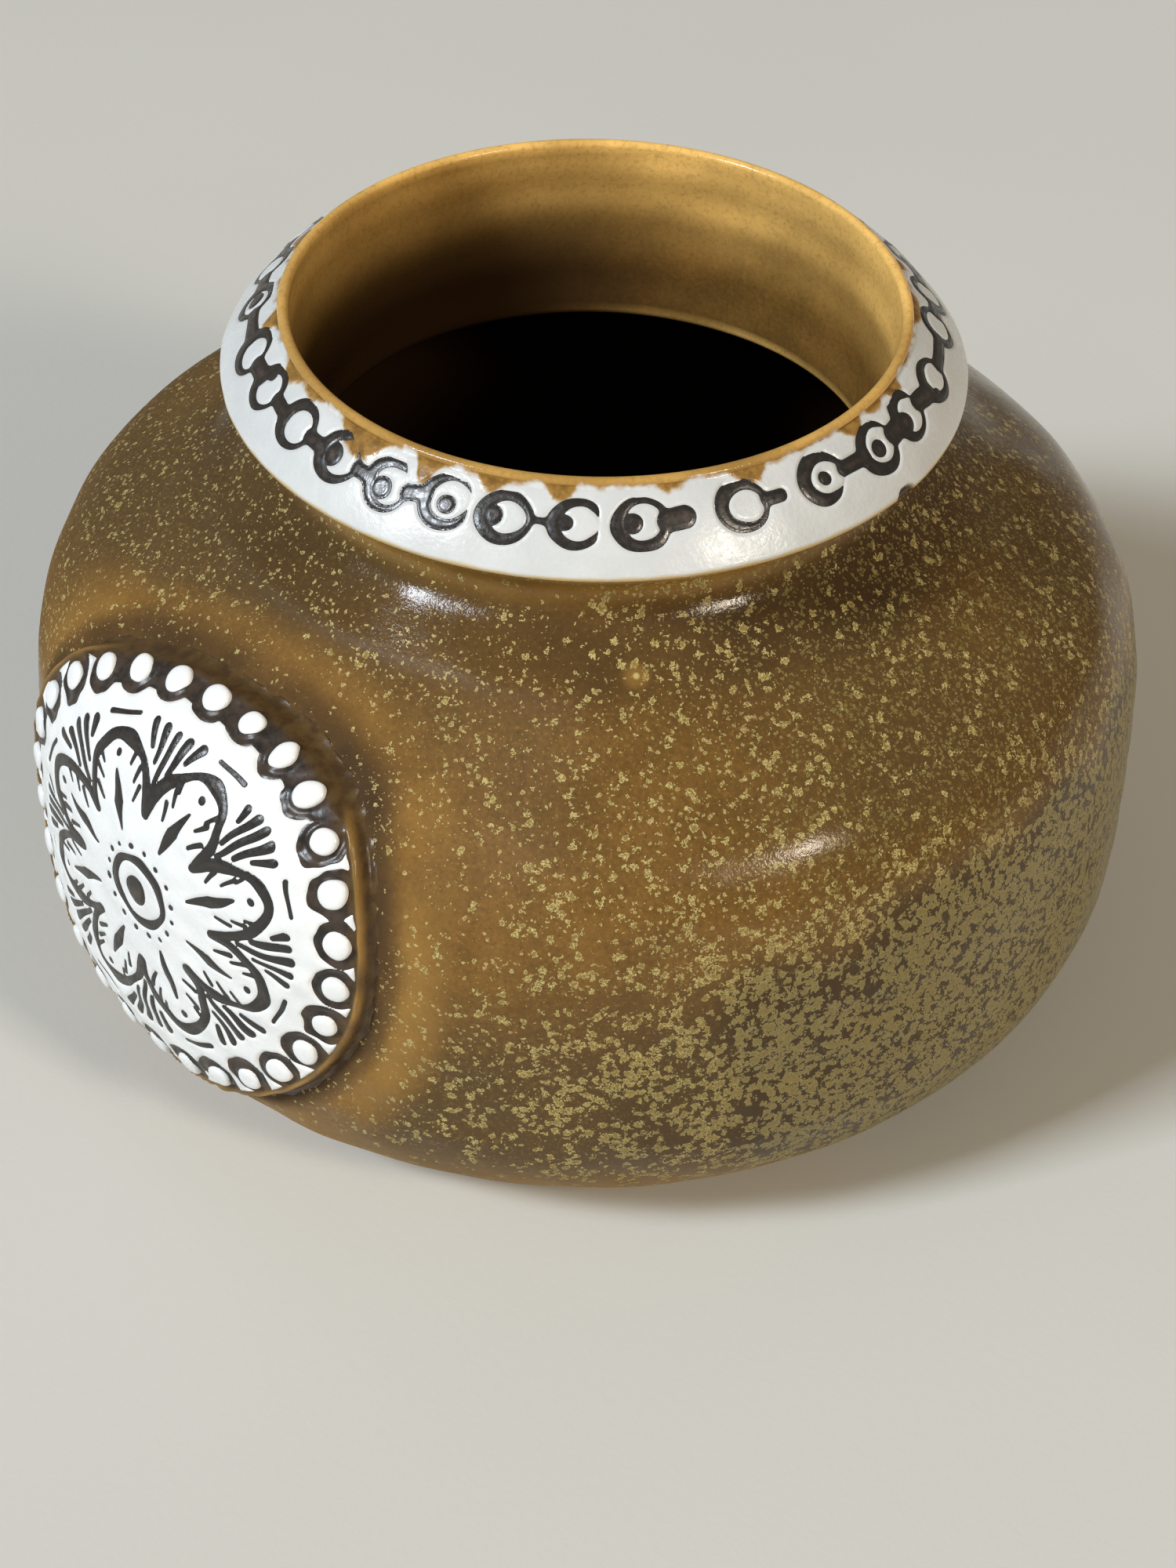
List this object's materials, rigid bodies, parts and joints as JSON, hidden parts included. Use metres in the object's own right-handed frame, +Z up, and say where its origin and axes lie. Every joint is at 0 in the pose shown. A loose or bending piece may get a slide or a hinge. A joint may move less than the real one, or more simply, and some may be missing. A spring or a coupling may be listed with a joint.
{
  "type": "ceramic vase",
  "caption": "Squat round ceramic vase with a wide mouth, a flared white collar inlaid with a chain of rings, and an oval medallion on its front.",
  "frame": {"origin": "on the vase's turning axis, in the plane of the foot ring that it stands on", "axes": "+Z up along the turning axis; the medallion on the front faces -Y; +X to its right as a viewer faces it"},
  "size_m": [0.13, 0.1318, 0.0874],
  "materials": {
    "ochre_glaze": "satin",
    "white_glaze": "satin",
    "dark_inlay": "satin"
  },
  "bodies": {
    "root": {"vase_body": "ochre_glaze", "collar_band": "white_glaze", "ring_chain": "dark_inlay", "medallion_slab": "white_glaze", "petal_line": "dark_inlay", "eye_line": "dark_inlay", "petal_vein_1": "dark_inlay", "petal_vein_2": "dark_inlay", "petal_vein_3": "dark_inlay", "petal_vein_4": "dark_inlay", "petal_vein_5": "dark_inlay", "petal_vein_6": "dark_inlay", "petal_vein_7": "dark_inlay", "petal_vein_8": "dark_inlay", "pearl_01": "white_glaze", "pearl_02": "white_glaze", "pearl_03": "white_glaze", "pearl_04": "white_glaze", "pearl_05": "white_glaze", "pearl_06": "white_glaze", "pearl_07": "white_glaze", "pearl_08": "white_glaze", "pearl_09": "white_glaze", "pearl_10": "white_glaze", "pearl_11": "white_glaze", "pearl_12": "white_glaze", "pearl_13": "white_glaze", "pearl_14": "white_glaze", "pearl_15": "white_glaze", "pearl_16": "white_glaze", "pearl_17": "white_glaze", "pearl_18": "white_glaze", "pearl_19": "white_glaze", "pearl_20": "white_glaze", "pearl_21": "white_glaze", "pearl_22": "white_glaze", "pearl_23": "white_glaze", "pearl_24": "white_glaze", "pearl_25": "white_glaze", "pearl_26": "white_glaze", "pearl_27": "white_glaze", "pearl_28": "white_glaze"}
  },
  "joints": []
}
